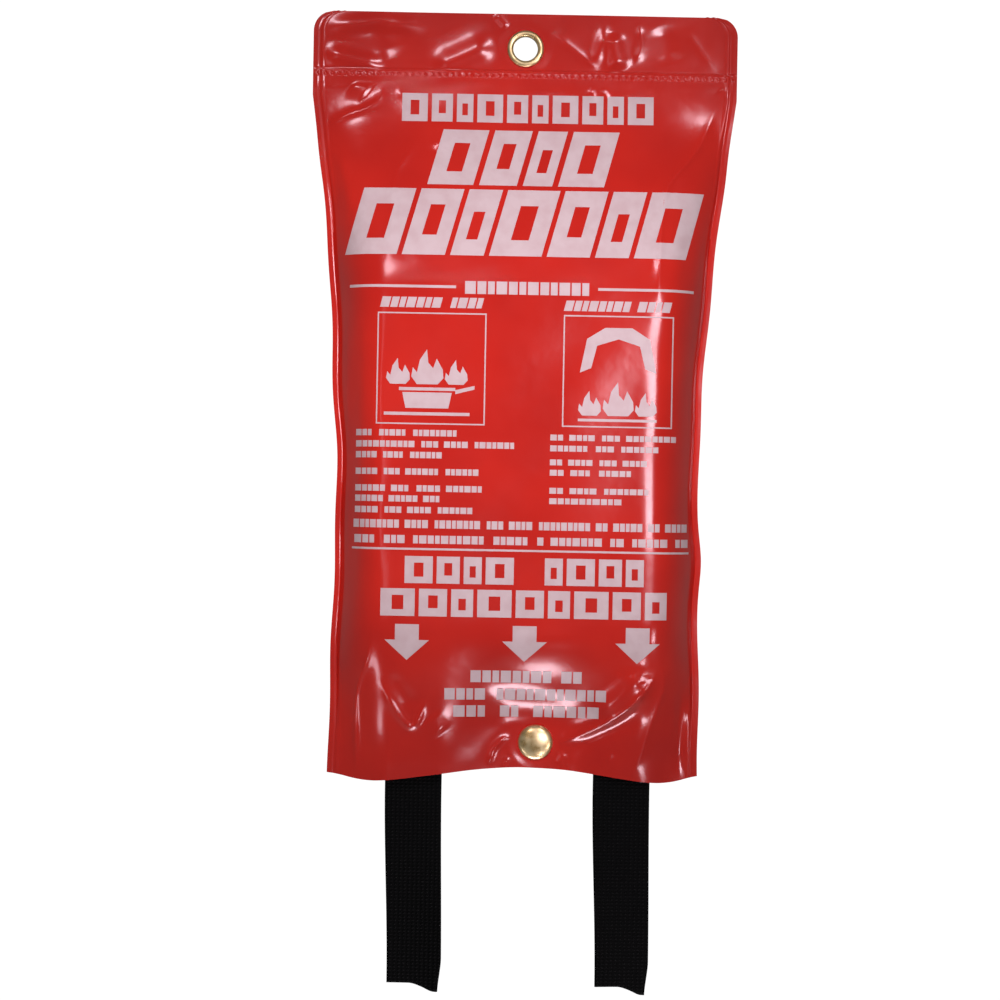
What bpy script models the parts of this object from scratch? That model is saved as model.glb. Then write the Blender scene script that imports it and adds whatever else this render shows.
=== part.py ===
"""Wall-hung fire blanket: a soft PVC pouch, its brass eyelet and snap, the folded blanket and its pull tabs.

Frame: the origin is the centre of the hanging eyelet, in the plane where the two sheets of the pouch
are welded together. +Z is up, -Y is the front and +Y faces the wall. All lengths are in metres.
"""
import math

import bmesh
import bpy
from mathutils import Matrix

MM = 0.001

# Clearances
GAP = 0.3 * MM                    # between neighbours that touch
WELD_GAP = 0.3 * MM               # between the two sheets where they are welded
BLANKET_GAP = 0.9 * MM            # between the blanket and the sheets round it

# Pouch
SHEET = 0.5 * MM                  # thickness of the PVC sheet
POUCH_TOP = 15.6 * MM             # top edge above the eyelet's centre
WELD_LINE = -16.0 * MM            # lower side of the weld across the header, where the front sheet bends
MOUTH = -324.0 * MM               # lower edge of the pouch in the middle
LOBE_DROP = 5.5 * MM              # how much lower the edge hangs at the tabs
LIP_HEIGHT = 24.0 * MM            # height of the straight lips at the mouth
CLOSING_HEIGHT = 38.0 * MM        # height over which the bulge runs down into the lips
HEADER_HALF = 95.4 * MM           # half width at the header
WAIST_HALF = 81.3 * MM            # half width at the narrowest place
MOUTH_HALF = 83.2 * MM            # half width at the mouth
CORNER_RADIUS = 9.0 * MM
TAPER_TOP = -22.0 * MM
WAIST = -185.0 * MM
FLANGE_SHARE = 0.965              # share of the half width inside the side welds
FLAT_SHARE = 0.70                 # share of the half width that the blanket keeps flat
FRONT_BULGE = 24.0 * MM
BACK_BULGE = 9.0 * MM
BULGE_TOP = -115.0 * MM           # full thickness below this height
LIP_TOP = MOUTH + LIP_HEIGHT      # the mouth's lips run straight below this height
BULGE_END = LIP_TOP + CLOSING_HEIGHT
BLANKET_DROP = 18.0 * MM          # the blanket starts this far below the weld
BLANKET_RISE = 12.0 * MM          # and ends this far above the lips
FRONT_LOBE = 7.0 * MM             # how far the front lip stands out at the tabs
BACK_LOBE = 2.6 * MM

# Webbing tabs
WEBBING_WIDTH = 25.0 * MM
WEBBING = 1.6 * MM
TAB_CENTRES = {"left": -44.5 * MM, "right": 49.0 * MM}
TAB_LENGTH = 88.5 * MM            # length of a tail below its bend
TAB_CLEAR = 3.0 * MM              # the bend's distance below the mouth's edge
TAB_HINGE = MOUTH - LOBE_DROP - TAB_CLEAR
TAB_END = TAB_HINGE - TAB_LENGTH
SEWN_LENGTH = 26.0 * MM           # length of a tab that is sewn between the folds

# Eyelet
EYELET_HOLE = 5.5 * MM            # radii
EYELET_BARREL = 6.1 * MM
EYELET_FLANGE = 8.3 * MM
EYELET_ROLL = 1.3 * MM            # height of the rolled flange
FLANGE_EDGE = 0.2                 # share of that height at the flange's edge
WASHER = 0.8 * MM

# Snap fastener
SNAP_X = 10.0 * MM
SNAP_RISE = 12.5 * MM             # the snap's centre above the mouth's edge
SNAP_Z = MOUTH + SNAP_RISE
CAP_RADIUS = 7.75 * MM
CAP_HEIGHT = 2.9 * MM
SNAP_BARREL = 2.2 * MM
DISC_RADIUS = 6.2 * MM            # socket and stud
SOCKET_HEIGHT = 2.3 * MM
SOCKET_ROOF = 0.4 * MM
STUD_FLANGE = 0.9 * MM
NUB_RADIUS = 2.75 * MM
NUB_NECK = 2.3 * MM
NUB_HEIGHT = 1.9 * MM
SPRING_WIRE = 0.3 * MM            # radius of the wire
SPRING_RISE = 1.0 * MM            # the spring's middle above the socket's base
POST_RADIUS = 5.0 * MM
POST_FLANGE = 0.8 * MM
EDGE = 0.25 * MM                  # small chamfer on the turned discs

# Stack of the closed snap, measured forwards from the weld plane
FRONT_PINCH = 2.2 * MM            # inner face of the front sheet
SOCKET_TOP = FRONT_PINCH - GAP
SOCKET_BASE = SOCKET_TOP - SOCKET_HEIGHT
STUD_TOP = SOCKET_BASE - GAP
STUD_BASE = STUD_TOP - STUD_FLANGE
BACK_PINCH = GAP - STUD_BASE      # inner face of the back sheet, backwards
SNAP_FLAT = DISC_RADIUS + CAP_RADIUS

COLUMNS = 18
BLANKET_COLUMNS = 14
TURN_STEPS = 32


def clear_scene():
    for item in list(bpy.data.objects):
        bpy.data.objects.remove(item, do_unlink=True)


def make_collection(name):
    collection = bpy.data.collections.new(name)
    bpy.context.scene.collection.children.link(collection)
    return collection


def make_material(name, colour, roughness, metallic=0.0):
    material = bpy.data.materials.new(name)
    material.use_nodes = True
    shader = material.node_tree.nodes["Principled BSDF"]
    shader.inputs["Base Color"].default_value = (*colour, 1.0)
    shader.inputs["Roughness"].default_value = roughness
    shader.inputs["Metallic"].default_value = metallic
    return material


def add_object(name, bm, collection, material=None):
    mesh = bpy.data.meshes.new(name)
    bm.to_mesh(mesh)
    bm.free()
    item = bpy.data.objects.new(name, mesh)
    if material:
        mesh.materials.append(material)
    collection.objects.link(item)
    return item


def smooth(value, start, end):
    """0 at start, 1 at end, and level at both."""
    t = min(max((value - start) / (end - start), 0.0), 1.0)
    return t * t * (3.0 - 2.0 * t)


def spaced(start, end, count):
    """Heights from start towards end, without the end itself."""
    return [start + (end - start) * i / count for i in range(count)]


# ---- shape of the pouch ----

def half_width(z):
    """Half width of the pouch at a height: a rounded header, a waist and a slightly wider mouth."""
    if z > TAPER_TOP:
        rise = max(z - (POUCH_TOP - CORNER_RADIUS), 0.0)
        inset = CORNER_RADIUS - math.sqrt(max(CORNER_RADIUS ** 2 - rise ** 2, 0.0))
        return HEADER_HALF - inset
    drop = min((TAPER_TOP - z) / (TAPER_TOP - WAIST), 1.0)
    width = HEADER_HALF - (HEADER_HALF - WAIST_HALF) * (1.0 - (1.0 - drop) ** 1.6)
    return width + (MOUTH_HALF - WAIST_HALF) * smooth(z, WAIST, MOUTH)


def side_fall(share):
    """Falls from 1 over the blanket to 0 at the side weld."""
    s = min(max((share - FLAT_SHARE) / (FLANGE_SHARE - FLAT_SHARE), 0.0), 1.0)
    return math.cos(s * math.pi / 2.0)


def lobe(x):
    """0 at the snap and at the side welds, 1 about the tabs."""
    side = smooth(abs(x), MOUTH_HALF * FLANGE_SHARE, TAB_CENTRES["right"])
    return side * smooth(abs(x - SNAP_X), SNAP_FLAT, TAB_CENTRES["right"] - SNAP_X)


def depth(x, z, bulge, pinch, stand):
    """Distance from the weld plane to a sheet's inner face."""
    share = abs(x) / half_width(z)
    closing = smooth(z, BULGE_END, LIP_TOP)
    rise = smooth(z, WELD_LINE, BULGE_TOP)
    near_weld = smooth(share, FLANGE_SHARE, FLAT_SHARE)
    lips = pinch * near_weld + stand * lobe(x)
    return WELD_GAP / 2.0 + rise * ((1.0 - closing) * bulge * side_fall(share) + closing * lips)


def front_depth(x, z):
    return depth(x, z, FRONT_BULGE, FRONT_PINCH - WELD_GAP / 2.0, FRONT_LOBE)


def back_depth(x, z):
    return depth(x, z, BACK_BULGE, BACK_PINCH - WELD_GAP / 2.0, BACK_LOBE)


def edge_drop(x, z):
    """Lowers the mouth's edge at the tabs, and nothing above the lips."""
    return LOBE_DROP * lobe(x) * smooth(z, LIP_TOP, MOUTH)


def corner_rows():
    """Heights through the rounded top corners, closest together at the top."""
    steps = 4
    centre = POUCH_TOP - CORNER_RADIUS
    return [centre + CORNER_RADIUS * math.cos(i * math.pi / 2.0 / steps) for i in range(steps)]


def header_rows():
    return corner_rows() + spaced(POUCH_TOP - CORNER_RADIUS, WELD_LINE, 2)


def body_rows():
    rows = spaced(WELD_LINE, BULGE_TOP, 5) + spaced(BULGE_TOP, BULGE_END, 6)
    return rows + spaced(BULGE_END, LIP_TOP, 5) + spaced(LIP_TOP, MOUTH, 3) + [MOUTH]


def make_sheet(name, rows, side, depth_at, collection, material):
    """A PVC sheet: a grid laid on its depth, then thickened outwards. side is -1 in front, +1 behind."""
    bm = bmesh.new()
    bmesh.ops.create_grid(bm, x_segments=COLUMNS, y_segments=len(rows) - 1, size=1.0)
    for vert in bm.verts:
        row = round((1.0 - vert.co.y) / 2.0 * (len(rows) - 1))
        z = rows[row]
        x = vert.co.x * half_width(z)
        vert.co = (x, side * depth_at(x, z), z - edge_drop(x, z))
    bmesh.ops.recalc_face_normals(bm, faces=bm.faces)
    outward = sum(face.normal.y for face in bm.faces) * side
    if outward < 0.0:
        bmesh.ops.reverse_faces(bm, faces=bm.faces)
    item = add_object(name, bm, collection, material)
    wall = item.modifiers.new("Thickness", "SOLIDIFY")
    wall.thickness = SHEET
    wall.offset = 1.0
    return item


def make_cutter(name, radius, x, z, collection):
    bm = bmesh.new()
    bmesh.ops.create_cone(bm, cap_ends=True, segments=TURN_STEPS, radius1=radius, radius2=radius,
                          depth=20.0 * MM, matrix=Matrix.Rotation(math.pi / 2.0, 4, "X"))
    cutter = add_object(name, bm, collection)
    cutter.location = (x, 0.0, z)
    cutter.hide_render = True
    cutter.display_type = "WIRE"
    return cutter


def cut(item, cutter):
    boolean = item.modifiers.new(cutter.name, "BOOLEAN")
    boolean.operation = "DIFFERENCE"
    boolean.solver = "EXACT"
    boolean.object = cutter


# ---- turned brass pieces ----

def make_turned(name, profile, x, z, collection, material, closed=False):
    """Turns (radius, height forwards) points about an axis along -Y through x, z."""
    bm = bmesh.new()
    verts = [bm.verts.new((radius, 0.0, height)) for radius, height in profile]
    for first, second in zip(verts, verts[1:]):
        bm.edges.new((first, second))
    if closed:
        bm.edges.new((verts[-1], verts[0]))
    item = add_object(name, bm, collection, material)
    screw = item.modifiers.new("Turn", "SCREW")
    screw.steps = TURN_STEPS
    screw.render_steps = TURN_STEPS
    screw.use_merge_vertices = True
    screw.merge_threshold = 0.00001
    item.rotation_euler = (math.pi / 2.0, 0.0, 0.0)
    item.location = (x, 0.0, z)
    return item


def eyelet_barrel_profile():
    face = WELD_GAP / 2.0 + SHEET + GAP
    roll = (EYELET_FLANGE - EYELET_HOLE) / 2.0
    middle = EYELET_HOLE + roll
    arc = []
    for i in range(7):
        angle = math.pi * i / 6.0
        rise = face + EYELET_ROLL * (FLANGE_EDGE + (1.0 - FLANGE_EDGE) * math.sin(angle))
        arc.append((middle - roll * math.cos(angle), rise))
    tail = [(EYELET_FLANGE, face), (EYELET_BARREL, face), (EYELET_BARREL, -face - WASHER)]
    return arc + tail + [(EYELET_HOLE, -face - WASHER)]


def washer_profile():
    front = -WELD_GAP / 2.0 - SHEET - GAP
    back = front - WASHER
    inner = EYELET_BARREL + GAP
    outer = EYELET_FLANGE
    return [(outer - EDGE, front), (outer, front - EDGE), (outer, back + EDGE), (outer - EDGE, back),
            (inner, back), (inner, front)]


def cap_profile():
    """A shallow dome over a short barrel that passes through the front sheet."""
    base = FRONT_PINCH + SHEET + GAP
    rim = base + 2.0 * EDGE
    rise = CAP_HEIGHT - 2.0 * EDGE
    sphere = (CAP_RADIUS ** 2 + rise ** 2) / (2.0 * rise)
    sweep = math.asin(CAP_RADIUS / sphere)
    dome = []
    for i in range(7):
        angle = sweep * i / 6.0
        dome.append((sphere * math.sin(angle), rim + rise - sphere * (1.0 - math.cos(angle))))
    dome[0] = (0.0, rim + rise)
    return dome + [(CAP_RADIUS - EDGE, base), (SNAP_BARREL, base), (SNAP_BARREL, FRONT_PINCH),
                   (0.0, FRONT_PINCH)]


def socket_profile():
    mouth = NUB_RADIUS + GAP
    groove = NUB_RADIUS + 2.0 * GAP + 2.0 * SPRING_WIRE
    middle = SOCKET_BASE + SPRING_RISE
    half = SPRING_WIRE + GAP / 2.0
    return [(0.0, SOCKET_TOP), (DISC_RADIUS - EDGE, SOCKET_TOP), (DISC_RADIUS, SOCKET_TOP - EDGE),
            (DISC_RADIUS, SOCKET_BASE + EDGE), (DISC_RADIUS - EDGE, SOCKET_BASE), (mouth, SOCKET_BASE),
            (mouth, middle - half), (groove, middle - half), (groove, middle + half), (mouth, middle + half),
            (mouth, SOCKET_TOP - SOCKET_ROOF), (0.0, SOCKET_TOP - SOCKET_ROOF)]


def stud_profile():
    top = STUD_TOP + NUB_HEIGHT
    return [(0.0, top), (NUB_NECK - EDGE, top), (NUB_RADIUS, top - 2.0 * EDGE),
            (NUB_RADIUS, top - 4.0 * EDGE), (NUB_NECK, top - 5.0 * EDGE), (NUB_NECK, STUD_TOP),
            (DISC_RADIUS - EDGE, STUD_TOP),
            (DISC_RADIUS, STUD_TOP - EDGE), (DISC_RADIUS, STUD_BASE + EDGE),
            (DISC_RADIUS - EDGE, STUD_BASE), (0.0, STUD_BASE)]


def post_profile():
    front = -BACK_PINCH - SHEET - GAP
    back = front - POST_FLANGE
    return [(0.0, -BACK_PINCH), (SNAP_BARREL, -BACK_PINCH), (SNAP_BARREL, front), (POST_RADIUS - EDGE, front),
            (POST_RADIUS, front - EDGE), (POST_RADIUS, back + EDGE), (POST_RADIUS - EDGE, back), (0.0, back)]


def make_spring(collection, material):
    """The split wire ring that grips the stud, in the socket's groove."""
    curve = bpy.data.curves.new("snap_spring", "CURVE")
    curve.dimensions = "3D"
    curve.bevel_depth = SPRING_WIRE
    curve.bevel_resolution = 1
    curve.use_fill_caps = True
    count = 20
    radius = NUB_RADIUS + GAP + SPRING_WIRE
    spline = curve.splines.new("POLY")
    spline.points.add(count)
    for i, point in enumerate(spline.points):
        angle = math.radians(20.0 + 320.0 * i / count)
        point.co = (radius * math.cos(angle), radius * math.sin(angle), 0.0, 1.0)
    curve.materials.append(material)
    item = bpy.data.objects.new("snap_spring", curve)
    collection.objects.link(item)
    item.rotation_euler = (math.pi / 2.0, 0.0, 0.0)
    item.location = (SNAP_X, -(SOCKET_BASE + SPRING_RISE), SNAP_Z)
    return item


# ---- blanket and tabs ----

def blanket_rows():
    return [z for z in body_rows() if LIP_TOP + BLANKET_RISE < z < WELD_LINE - BLANKET_DROP]


def make_blanket(collection, material):
    """The folded blanket: a slab that fills the pouch between the two sheets."""
    rows = blanket_rows()
    bm = bmesh.new()
    bmesh.ops.create_grid(bm, x_segments=BLANKET_COLUMNS, y_segments=len(rows) - 1, size=1.0)
    share = BLANKET_COLUMNS / COLUMNS
    for vert in bm.verts:
        row = round((1.0 - vert.co.y) / 2.0 * (len(rows) - 1))
        vert.co = (vert.co.x * share * half_width(rows[row]), 0.0, rows[row])
    front = list(bm.faces)
    extruded = bmesh.ops.extrude_face_region(bm, geom=front, use_keep_orig=True)
    back_verts = {item for item in extruded["geom"] if isinstance(item, bmesh.types.BMVert)}
    for vert in bm.verts:
        x, z = vert.co.x, vert.co.z
        if vert in back_verts:
            vert.co.y = back_depth(x, z) - BLANKET_GAP
        else:
            vert.co.y = BLANKET_GAP - front_depth(x, z)
    bmesh.ops.recalc_face_normals(bm, faces=bm.faces)
    return add_object("blanket", bm, collection, material)


def make_box(name, low, high, collection, material=None):
    size = [b - a for a, b in zip(low, high)]
    centre = [(a + b) / 2.0 for a, b in zip(low, high)]
    bm = bmesh.new()
    matrix = Matrix.Translation(centre) @ Matrix.Diagonal((*size, 1.0))
    bmesh.ops.create_cube(bm, size=1.0, matrix=matrix)
    return add_object(name, bm, collection, material)


def make_tab(side, centre, blanket, parts, cutters, material):
    """One webbing tab: its sewn end between the folds, and the tail that hangs below the mouth."""
    half = WEBBING_WIDTH / 2.0
    flat = WEBBING / 2.0
    sewn_base = min(blanket_rows())
    sewn_top = sewn_base + SEWN_LENGTH
    bend = TAB_HINGE + flat + GAP
    make_box(side + "_tab_anchor", (centre - half, -flat, bend), (centre + half, flat, sewn_top), parts,
             material)

    slot = make_box(side + "_tab_slot", (centre - half - GAP, -flat - GAP, sewn_base - SEWN_LENGTH),
                    (centre + half + GAP, flat + GAP, sewn_top + GAP), cutters)
    slot.hide_render = True
    slot.display_type = "WIRE"
    cut(blanket, slot)

    bm = bmesh.new()
    length = TAB_HINGE + flat - TAB_END
    middle = (TAB_HINGE + flat + TAB_END) / 2.0 - TAB_HINGE
    matrix = Matrix.Translation((0.0, 0.0, middle)) @ Matrix.Diagonal((WEBBING_WIDTH, WEBBING, length, 1.0))
    bmesh.ops.create_cube(bm, size=1.0, matrix=matrix)
    top = max(vert.co.z for vert in bm.verts)
    long_edges = [edge for edge in bm.edges
                  if all(abs(vert.co.z - top) < GAP for vert in edge.verts)
                  and abs(edge.verts[0].co.x - edge.verts[1].co.x) > half]
    bmesh.ops.bevel(bm, geom=long_edges, offset=flat * 0.98, segments=4, profile=0.5, affect="EDGES")
    tail = add_object(side + "_tab_tail", bm, parts, material)
    tail.location = (centre, 0.0, TAB_HINGE)


def main():
    clear_scene()
    parts = make_collection("fire_blanket")
    cutters = make_collection("cutters")

    pvc_front = make_material("red_pvc_front", (0.60, 0.018, 0.018), 0.28)
    pvc_back = make_material("red_pvc_back", (0.52, 0.015, 0.016), 0.32)
    brass = make_material("polished_brass", (0.80, 0.62, 0.30), 0.18, 1.0)
    steel = make_material("spring_wire", (0.62, 0.62, 0.64), 0.30, 1.0)
    webbing = make_material("black_webbing", (0.012, 0.012, 0.013), 0.85)
    glass_cloth = make_material("glass_cloth", (0.78, 0.77, 0.72), 0.80)

    eyelet_cutter = make_cutter("eyelet_hole", EYELET_BARREL + GAP, 0.0, 0.0, cutters)
    snap_cutter = make_cutter("snap_hole", SNAP_BARREL + GAP, SNAP_X, SNAP_Z, cutters)

    header = make_sheet("front_header", header_rows() + [WELD_LINE], -1.0, front_depth, parts, pvc_front)
    cut(header, eyelet_cutter)
    front_rows = [WELD_LINE - GAP] + body_rows()[1:]
    front = make_sheet("front_panel", front_rows, -1.0, front_depth, parts, pvc_front)
    cut(front, snap_cutter)
    back = make_sheet("back_panel", header_rows() + body_rows(), 1.0, back_depth, parts, pvc_back)
    cut(back, eyelet_cutter)
    cut(back, snap_cutter)

    make_turned("eyelet_barrel", eyelet_barrel_profile(), 0.0, 0.0, parts, brass, closed=True)
    make_turned("eyelet_washer", washer_profile(), 0.0, 0.0, parts, brass, closed=True)
    make_turned("snap_cap", cap_profile(), SNAP_X, SNAP_Z, parts, brass)
    make_turned("snap_socket", socket_profile(), SNAP_X, SNAP_Z, parts, brass)
    make_turned("snap_stud", stud_profile(), SNAP_X, SNAP_Z, parts, brass)
    make_turned("snap_post", post_profile(), SNAP_X, SNAP_Z, parts, brass)
    make_spring(parts, steel)

    blanket = make_blanket(parts, glass_cloth)
    for side, centre in TAB_CENTRES.items():
        make_tab(side, centre, blanket, parts, cutters, webbing)


main()
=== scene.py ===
"""Looks of the wall-hung fire blanket: glossy PVC pouch, screen print, brass fittings, webbing tabs, glass cloth."""
import math

import bmesh
import bpy
import numpy as np
from mathutils import Matrix, Vector


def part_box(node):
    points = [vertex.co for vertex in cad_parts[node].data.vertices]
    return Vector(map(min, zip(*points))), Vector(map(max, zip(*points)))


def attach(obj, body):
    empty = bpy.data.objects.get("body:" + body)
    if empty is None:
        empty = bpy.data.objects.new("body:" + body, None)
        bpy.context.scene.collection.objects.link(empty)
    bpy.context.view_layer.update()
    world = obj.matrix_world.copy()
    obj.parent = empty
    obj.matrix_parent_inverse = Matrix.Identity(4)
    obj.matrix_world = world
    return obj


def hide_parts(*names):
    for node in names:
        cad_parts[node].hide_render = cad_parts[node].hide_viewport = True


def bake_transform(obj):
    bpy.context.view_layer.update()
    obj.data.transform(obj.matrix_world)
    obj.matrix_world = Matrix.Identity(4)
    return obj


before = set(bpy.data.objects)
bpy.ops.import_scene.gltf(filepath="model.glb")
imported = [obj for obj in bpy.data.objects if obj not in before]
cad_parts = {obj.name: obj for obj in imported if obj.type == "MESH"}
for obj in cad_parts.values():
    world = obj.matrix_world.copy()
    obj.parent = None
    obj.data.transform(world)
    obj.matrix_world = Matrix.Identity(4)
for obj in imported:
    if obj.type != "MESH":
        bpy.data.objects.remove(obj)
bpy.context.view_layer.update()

MM = 0.001


# ---- places read from the frame ----

def corners(node):
    low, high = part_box(node)
    return Vector(low), Vector(high)


header_low, header_high = corners("front_header")
front_low, _ = corners("front_panel")
_, back_high = corners("back_panel")
cap_low, cap_high = corners("snap_cap")
blanket_low, blanket_high = corners("blanket")

HEADER_HALF = header_high.x
POUCH_TOP = header_high.z
WELD_LINE = header_low.z
SNAP_X, _, SNAP_Z = (cap_low + cap_high) / 2.0
FRONT_BULGE = -front_low.y - 0.65 * MM
BACK_BULGE = back_high.y - 0.65 * MM

# ---- sizes that the frame's boxes don't give ----

SHEET = 0.5 * MM
SHEET_FOOT = -324.0 * MM
SLACK = 0.05 * MM
EYELET_CUT = 6.4 * MM
SNAP_CUT = 2.5 * MM
WAIST_HALF = 81.3 * MM
MOUTH_HALF = 83.2 * MM
CORNER_RADIUS = 9.0 * MM
TAPER_TOP = -22.0 * MM
WAIST = -185.0 * MM
BULGE_TOP = -115.0 * MM
BULGE_END = -262.0 * MM
LIP_TOP = -306.0 * MM
FLANGE_SHARE = 0.965
FLAT_SHARE = 0.62
FRONT_PINCH = 2.2 * MM
BACK_PINCH = 1.9 * MM
LOBE_CENTRE = 55.0 * MM
FRONT_LOBE = 7.0 * MM
BACK_LOBE = 2.6 * MM
WELD_INSET = 3.0 * MM
BAND_Z = -12.2 * MM
BAND_HALF = 1.2 * MM
BAND_PITCH = 3.0 * MM

# The blanket: its cloth, its leaves before and behind the straps, its hem and the room around it
CLOTH = 0.45 * MM
FRONT_LEAVES = 24
BACK_LEAVES = 4
CLOTH_ROOM = 0.9 * MM
HEM = 10.0 * MM
HEM_STEP = 0.35 * MM
STITCH_PITCH = 3.15 * MM
STITCH_COUNT = 38
STRAP_SHIFT = 2.25 * MM
STRAP_SPREAD = 46.75 * MM

# The studio: shade of the highlights, light of the surroundings on the object and as the camera shows them
GLEAM = (1.0, 0.86, 0.97)
WORLD_LIGHT = 0.17
WORLD_SHOWN = 1.05
FLOOR_HEIGHT = -2.20
FLOOR_HALF = 1.6

# Lower edge of the pouch, from its left corner to its right one: x and z
MOUTH_EDGE = (
    (-83.2, -326.6), (-77.5, -327.8), (-68.0, -330.0), (-57.0, -329.6), (-38.0, -327.0), (-18.0, -324.2), (2.0, -322.8),
    (22.0, -323.6), (40.0, -325.8), (60.0, -328.6), (70.0, -329.0), (77.0, -327.3), (83.2, -325.0))


def ramp(value, start, end):
    """0 at start, 1 at end, level at both; works on arrays."""
    t = np.clip((value - start) / (end - start), 0.0, 1.0)
    return t * t * (3.0 - 2.0 * t)


def half_width(z, right):
    """Half width of the pouch at each height; the right side has a soft shoulder over the print."""
    z = np.asarray(z, float)
    drop = np.clip((TAPER_TOP - z) / (TAPER_TOP - WAIST), 0.0, 1.0)
    width = HEADER_HALF - (HEADER_HALF - WAIST_HALF) * (1.0 - (1.0 - drop) ** 1.6)
    width = width + (MOUTH_HALF - WAIST_HALF) * ramp(z, WAIST, SHEET_FOOT)
    width = width + right * 1.0 * MM * np.exp(-((z + 229.0 * MM) / (12.0 * MM)) ** 2)
    width = width + (1.0 - right) * 1.4 * MM * np.exp(-((z + 148.0 * MM) / (32.0 * MM)) ** 2)
    width = width + 0.35 * MM * np.sin(z / (9.0 * MM) + right * 2.0) * ramp(z, -30.0 * MM, -60.0 * MM)
    rise = np.clip(z - (POUCH_TOP - CORNER_RADIUS), 0.0, CORNER_RADIUS)
    return width - CORNER_RADIUS + np.sqrt(np.maximum(CORNER_RADIUS ** 2 - rise ** 2, 0.0))


def mouth_edge(x):
    points = np.array(MOUTH_EDGE) * MM
    smooth = np.zeros_like(x)
    offsets = np.linspace(-6.0, 6.0, 9) * MM
    for offset in offsets:
        smooth += np.interp(x + offset, points[:, 0], points[:, 1])
    return smooth / len(offsets)


def round_line(points):
    """Cuts the corners of a line twice, which leaves a smooth one."""
    for _ in range(2):
        inner = np.stack((0.75 * points[:-1] + 0.25 * points[1:], 0.25 * points[:-1] + 0.75 * points[1:]), 1)
        points = np.concatenate((points[:1], inner.reshape(-1, 2), points[-1:]))
    return points


def stroke(x, z, points, width, height, sharp=False, fade=0.3):
    """A ridge (or, with a negative height, a valley) along a line of x, z points in millimetres."""
    line = round_line(np.array(points, float)) * MM
    reach = 5.0 * width * MM
    low = line.min(0) - reach
    high = line.max(0) + reach
    near = (x > low[0]) & (x < high[0]) & (z > low[1]) & (z < high[1])
    out = np.zeros(x.shape)
    px, pz = x[near], z[near]
    lengths = np.hypot(*(line[1:] - line[:-1]).T)
    total = lengths.sum()
    best = np.full(px.shape, 1e9)
    along = np.zeros(px.shape)
    start = 0.0
    for a, b, length in zip(line, line[1:], lengths):
        t = np.clip(((px - a[0]) * (b[0] - a[0]) + (pz - a[1]) * (b[1] - a[1])) / length ** 2, 0.0, 1.0)
        distance = np.hypot(px - a[0] - t * (b[0] - a[0]), pz - a[1] - t * (b[1] - a[1]))
        nearer = distance < best
        best = np.where(nearer, distance, best)
        along = np.where(nearer, (start + t * length) / total, along)
        start += length
    ends = np.minimum(ramp(along, 0.0, fade), ramp(along, 1.0, 1.0 - fade))
    share = best / (width * MM)
    profile = np.exp(-1.3 * (np.sqrt(share ** 2 + 0.09) - 0.3)) if sharp else np.exp(-share ** 2)
    out[near] = height * MM * profile * ends
    return out


# Creases of the header, both sheets together: points, width, height, sharp
HEADER_CREASES = (
    (((11, 8), (22, 0), (34, -10)), 2.4, 0.6, True),
    (((32, -9), (33, 2), (37, 13)), 2.8, 0.7, False),
    (((50, 13), (53, 3), (49, -7)), 2.2, 0.6, True),
    (((39, 9), (40, 0), (43, -10)), 4.6, 1.5, False),
    (((-44, -11), (-28, -4), (-12, 4)), 6.0, 1.7, False),
    (((-94, 7), (-80, 10), (-62, 11), (-42, 8)), 4.2, 1.3, False),
    (((-93, -2), (-82, -5), (-62, -9)), 4.0, 1.4, False),
    (((71, 11), (79, 0), (87, -10)), 3.0, 0.4, True),
    (((-8, 9), (-14, 16)), 2.0, 0.5, False),
    (((60, 12), (66, -6)), 5.0, -0.6, False),
    (((-70, 12), (-60, -6)), 6.0, -0.7, False),
)

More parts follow.
